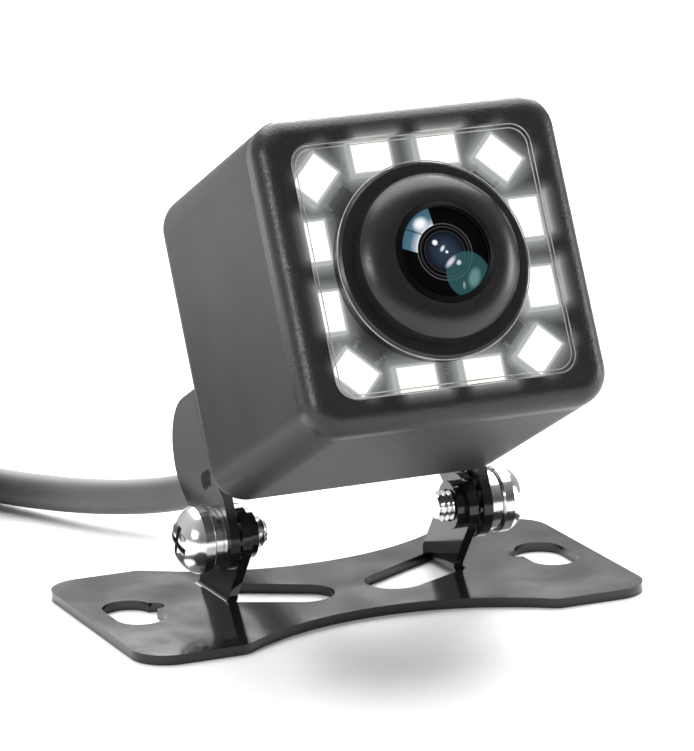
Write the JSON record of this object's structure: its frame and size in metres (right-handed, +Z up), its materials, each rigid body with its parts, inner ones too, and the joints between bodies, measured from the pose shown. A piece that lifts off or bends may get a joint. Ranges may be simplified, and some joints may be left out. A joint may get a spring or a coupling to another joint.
{
  "type": "backup camera",
  "caption": "Square wide-angle backup camera with an LED-lit window, a tilting yoke on a bow-tie base plate, and a cable with an in-line plug.",
  "frame": {"origin": "centre of the base plate's underside", "axes": "+Z up, +X along the tilt axis and the base plate's length, the lens faces -Y and is pitched up at rest"},
  "size_m": [0.0923, 0.0875, 0.0418],
  "materials": {
    "black_gloss_steel": "gloss black paint",
    "grey_coated_steel": "semi-matte dark grey coating",
    "grey_coated_metal": "semi-matte dark grey coating",
    "black_textured": "fine sand texture, near black",
    "zinc_steel": "zinc plated",
    "nickel_steel": "bright nickel plated",
    "black_steel": "black oxide",
    "black_rubber": "matte rubber",
    "clear_plastic": "clear polycarbonate",
    "board_dark": "dark solder mask",
    "board_green": "green solder mask",
    "led_white": "white LED body",
    "led_lit": "lit warm white",
    "chip_black": "black chip",
    "black_satin_plastic": "satin black plastic",
    "black_anodised": "black anodised",
    "lens_glass": "coated glass",
    "filter_glass": "infrared cut filter",
    "white_nylon": "natural nylon",
    "wire_red": "insulated wire",
    "cable_jacket": "matte PVC jacket",
    "black_plastic_tie": "twist tie",
    "black_plug_plastic": "moulded PVC",
    "gold_pins": "gold plated pins"
  },
  "bodies": {
    "base": {"base_plate": "black_gloss_steel", "flat_washers": "nickel_steel", "tooth_washers": "black_steel", "cable": "cable_jacket", "cable_coil": "cable_jacket", "cable_tail": "cable_jacket", "coil_tie": "black_plastic_tie", "plug_body": "black_plug_plastic", "plug_strain_relief": "black_rubber", "plug_pins": "gold_pins", "plug_seal": "black_rubber"},
    "head": {"yoke_bracket": "grey_coated_steel", "yoke_screws": "zinc_steel", "main_housing": "grey_coated_metal", "front_bezel": "black_textured", "housing_seal": "black_rubber", "led_window": "clear_plastic", "led_board": "board_dark", "led_packages": "led_white", "led_phosphors": "led_lit", "led_resistors": "chip_black", "board_posts": "zinc_steel", "board_screws": "zinc_steel", "lens_shroud": "black_satin_plastic", "shroud_seal": "black_rubber", "lens_barrel": "black_anodised", "lens_retaining_ring": "black_anodised", "front_lens": "lens_glass", "lens_spacer": "black_anodised", "second_lens": "lens_glass", "third_lens": "lens_glass", "rear_lens": "lens_glass", "lens_sleeve": "black_anodised", "infrared_filter": "filter_glass", "lens_holder": "black_satin_plastic", "sensor_board": "board_green", "image_sensor": "chip_black", "sensor_glass": "lens_glass", "processor_chip": "chip_black", "board_components": "chip_black", "wire_header": "white_nylon", "wire_plug": "white_nylon", "inner_wires": "wire_red", "cable_grommet": "black_rubber"},
    "left_screw": {"left_pivot_screw": "nickel_steel", "left_spring_washer": "nickel_steel"},
    "right_screw": {"right_pivot_screw": "nickel_steel", "right_spring_washer": "nickel_steel"}
  },
  "joints": [
    {"name": "head_tilt", "type": "hinge", "parent": "base", "child": "head", "pos_m": [0, -0.001, 0.0065], "axis": [-1, 0, 0], "range_deg": [-35, 30], "deforming": ["cable"]},
    {"name": "left_screw_turn", "type": "hinge", "parent": "base", "child": "left_screw", "pos_m": [-0.0134, -0.001, 0.0065], "axis": [-1, 0, 0], "range_deg": [0, 360]},
    {"name": "right_screw_turn", "type": "hinge", "parent": "base", "child": "right_screw", "pos_m": [0.0134, -0.001, 0.0065], "axis": [1, 0, 0], "range_deg": [0, 360]}
  ]
}
